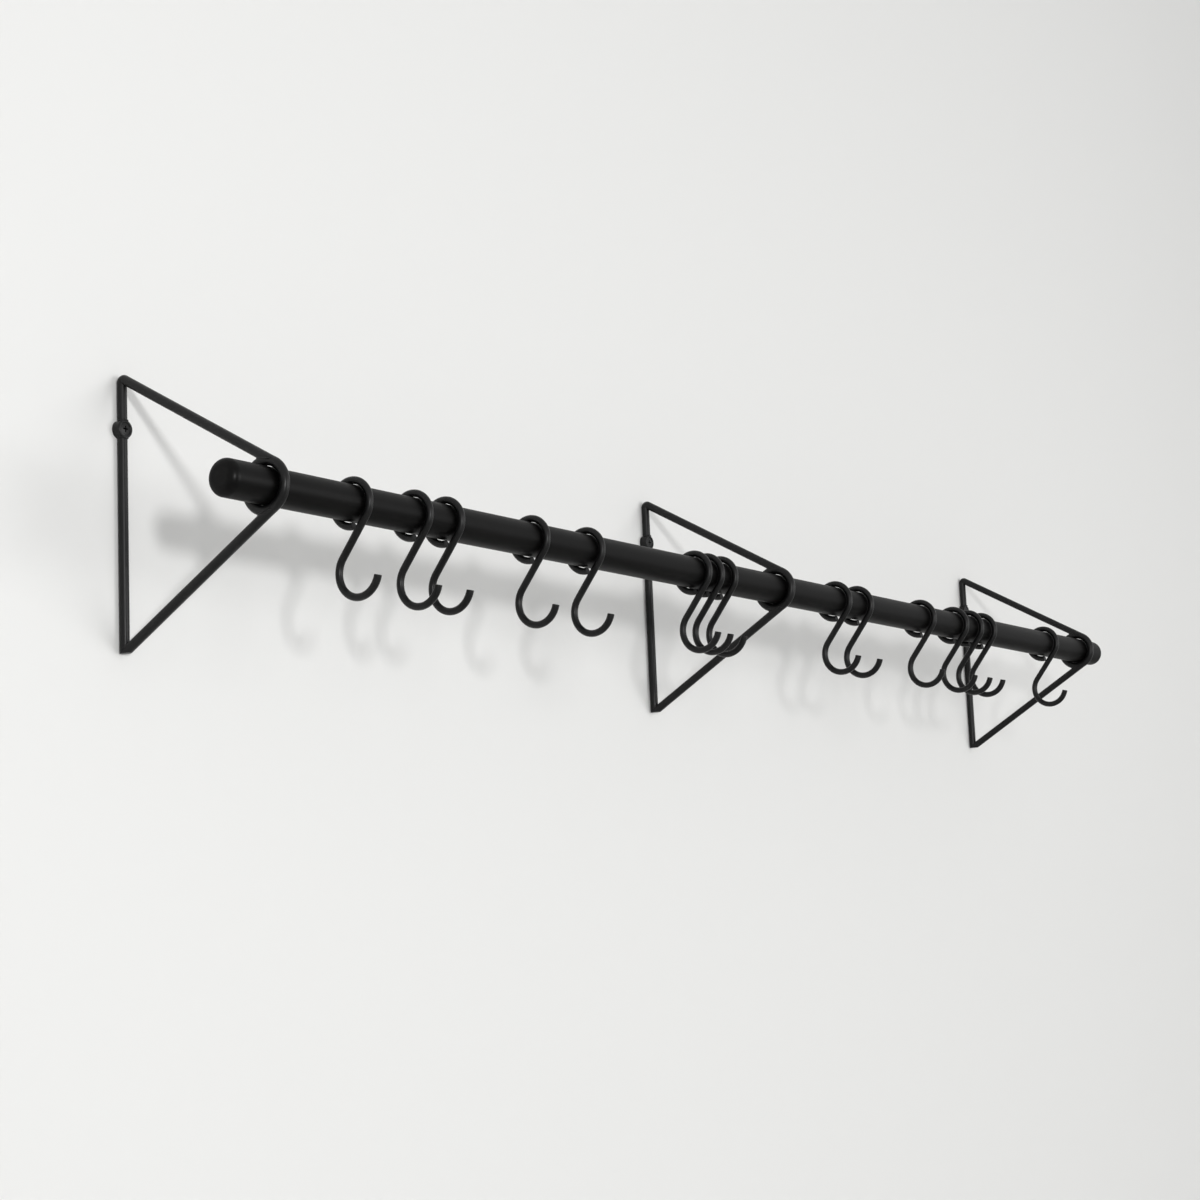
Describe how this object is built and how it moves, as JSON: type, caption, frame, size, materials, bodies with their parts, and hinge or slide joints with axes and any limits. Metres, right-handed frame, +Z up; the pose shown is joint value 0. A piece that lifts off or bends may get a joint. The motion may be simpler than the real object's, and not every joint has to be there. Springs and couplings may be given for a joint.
{
  "type": "wall coat rack",
  "caption": "Wall coat rack: a round black rod carried in the rings of triangular wire brackets screwed to the wall, with loose bent-wire hooks that swing on the rod.",
  "frame": {"origin": "on the wall plane, at the axis of the middle bracket's screw", "axes": "+X along the rod, to the right as seen from the room; +Y into the wall; +Z up"},
  "size_m": [1.6, 0.2278, 0.2249],
  "materials": {
    "rod_wood": "satin black stain with a faint lengthwise grain",
    "bracket_black": "semi-gloss black powder coat",
    "hook_black": "semi-gloss black powder coat",
    "screw_black": "semi-gloss black"
  },
  "bodies": {
    "rack": {"rod": "rod_wood", "left_ring": "bracket_black", "left_upper_wire": "bracket_black", "left_lower_wire": "bracket_black", "left_wall_wire": "bracket_black", "left_boss": "bracket_black", "middle_ring": "bracket_black", "middle_upper_wire": "bracket_black", "middle_lower_wire": "bracket_black", "middle_wall_wire": "bracket_black", "middle_boss": "bracket_black", "right_ring": "bracket_black", "right_upper_wire": "bracket_black", "right_lower_wire": "bracket_black", "right_wall_wire": "bracket_black", "right_boss": "bracket_black", "wall_screws": "screw_black"},
    "swing_01": {"hook_01": "hook_black"},
    "swing_02": {"hook_02": "hook_black"},
    "swing_03": {"hook_03": "hook_black"},
    "swing_04": {"hook_04": "hook_black"},
    "swing_05": {"hook_05": "hook_black"},
    "swing_06": {"hook_06": "hook_black"},
    "swing_07": {"hook_07": "hook_black"},
    "swing_08": {"hook_08": "hook_black"},
    "swing_09": {"hook_09": "hook_black"},
    "swing_10": {"hook_10": "hook_black"},
    "swing_11": {"hook_11": "hook_black"},
    "swing_12": {"hook_12": "hook_black"},
    "swing_13": {"hook_13": "hook_black"},
    "swing_14": {"hook_14": "hook_black"},
    "swing_15": {"hook_15": "hook_black"}
  },
  "joints": [
    {"name": "hook_01_swing", "type": "hinge", "parent": "rack", "child": "swing_01", "pos_m": [-0.65175, -0.15766, -0.06935], "axis": [1, 0, 0], "continuous": true},
    {"name": "hook_02_swing", "type": "hinge", "parent": "rack", "child": "swing_02", "pos_m": [-0.57675, -0.15766, -0.06935], "axis": [1, 0, 0], "continuous": true},
    {"name": "hook_03_swing", "type": "hinge", "parent": "rack", "child": "swing_03", "pos_m": [-0.5355, -0.15766, -0.06935], "axis": [1, 0, 0], "continuous": true},
    {"name": "hook_04_swing", "type": "hinge", "parent": "rack", "child": "swing_04", "pos_m": [-0.41625, -0.15766, -0.06935], "axis": [1, 0, 0], "continuous": true},
    {"name": "hook_05_swing", "type": "hinge", "parent": "rack", "child": "swing_05", "pos_m": [-0.333, -0.15766, -0.06935], "axis": [1, 0, 0], "continuous": true},
    {"name": "hook_06_swing", "type": "hinge", "parent": "rack", "child": "swing_06", "pos_m": [-0.15375, -0.15766, -0.06935], "axis": [1, 0, 0], "continuous": true},
    {"name": "hook_07_swing", "type": "hinge", "parent": "rack", "child": "swing_07", "pos_m": [-0.13125, -0.15766, -0.06935], "axis": [1, 0, 0], "continuous": true},
    {"name": "hook_08_swing", "type": "hinge", "parent": "rack", "child": "swing_08", "pos_m": [-0.1065, -0.15766, -0.06935], "axis": [1, 0, 0], "continuous": true},
    {"name": "hook_09_swing", "type": "hinge", "parent": "rack", "child": "swing_09", "pos_m": [0.12225, -0.15766, -0.06935], "axis": [1, 0, 0], "continuous": true},
    {"name": "hook_10_swing", "type": "hinge", "parent": "rack", "child": "swing_10", "pos_m": [0.1695, -0.15766, -0.06935], "axis": [1, 0, 0], "continuous": true},
    {"name": "hook_11_swing", "type": "hinge", "parent": "rack", "child": "swing_11", "pos_m": [0.3165, -0.15766, -0.06935], "axis": [1, 0, 0], "continuous": true},
    {"name": "hook_12_swing", "type": "hinge", "parent": "rack", "child": "swing_12", "pos_m": [0.39825, -0.15766, -0.06935], "axis": [1, 0, 0], "continuous": true},
    {"name": "hook_13_swing", "type": "hinge", "parent": "rack", "child": "swing_13", "pos_m": [0.43725, -0.15766, -0.06935], "axis": [1, 0, 0], "continuous": true},
    {"name": "hook_14_swing", "type": "hinge", "parent": "rack", "child": "swing_14", "pos_m": [0.47175, -0.15766, -0.06935], "axis": [1, 0, 0], "continuous": true},
    {"name": "hook_15_swing", "type": "hinge", "parent": "rack", "child": "swing_15", "pos_m": [0.64725, -0.15766, -0.06935], "axis": [1, 0, 0], "continuous": true}
  ]
}
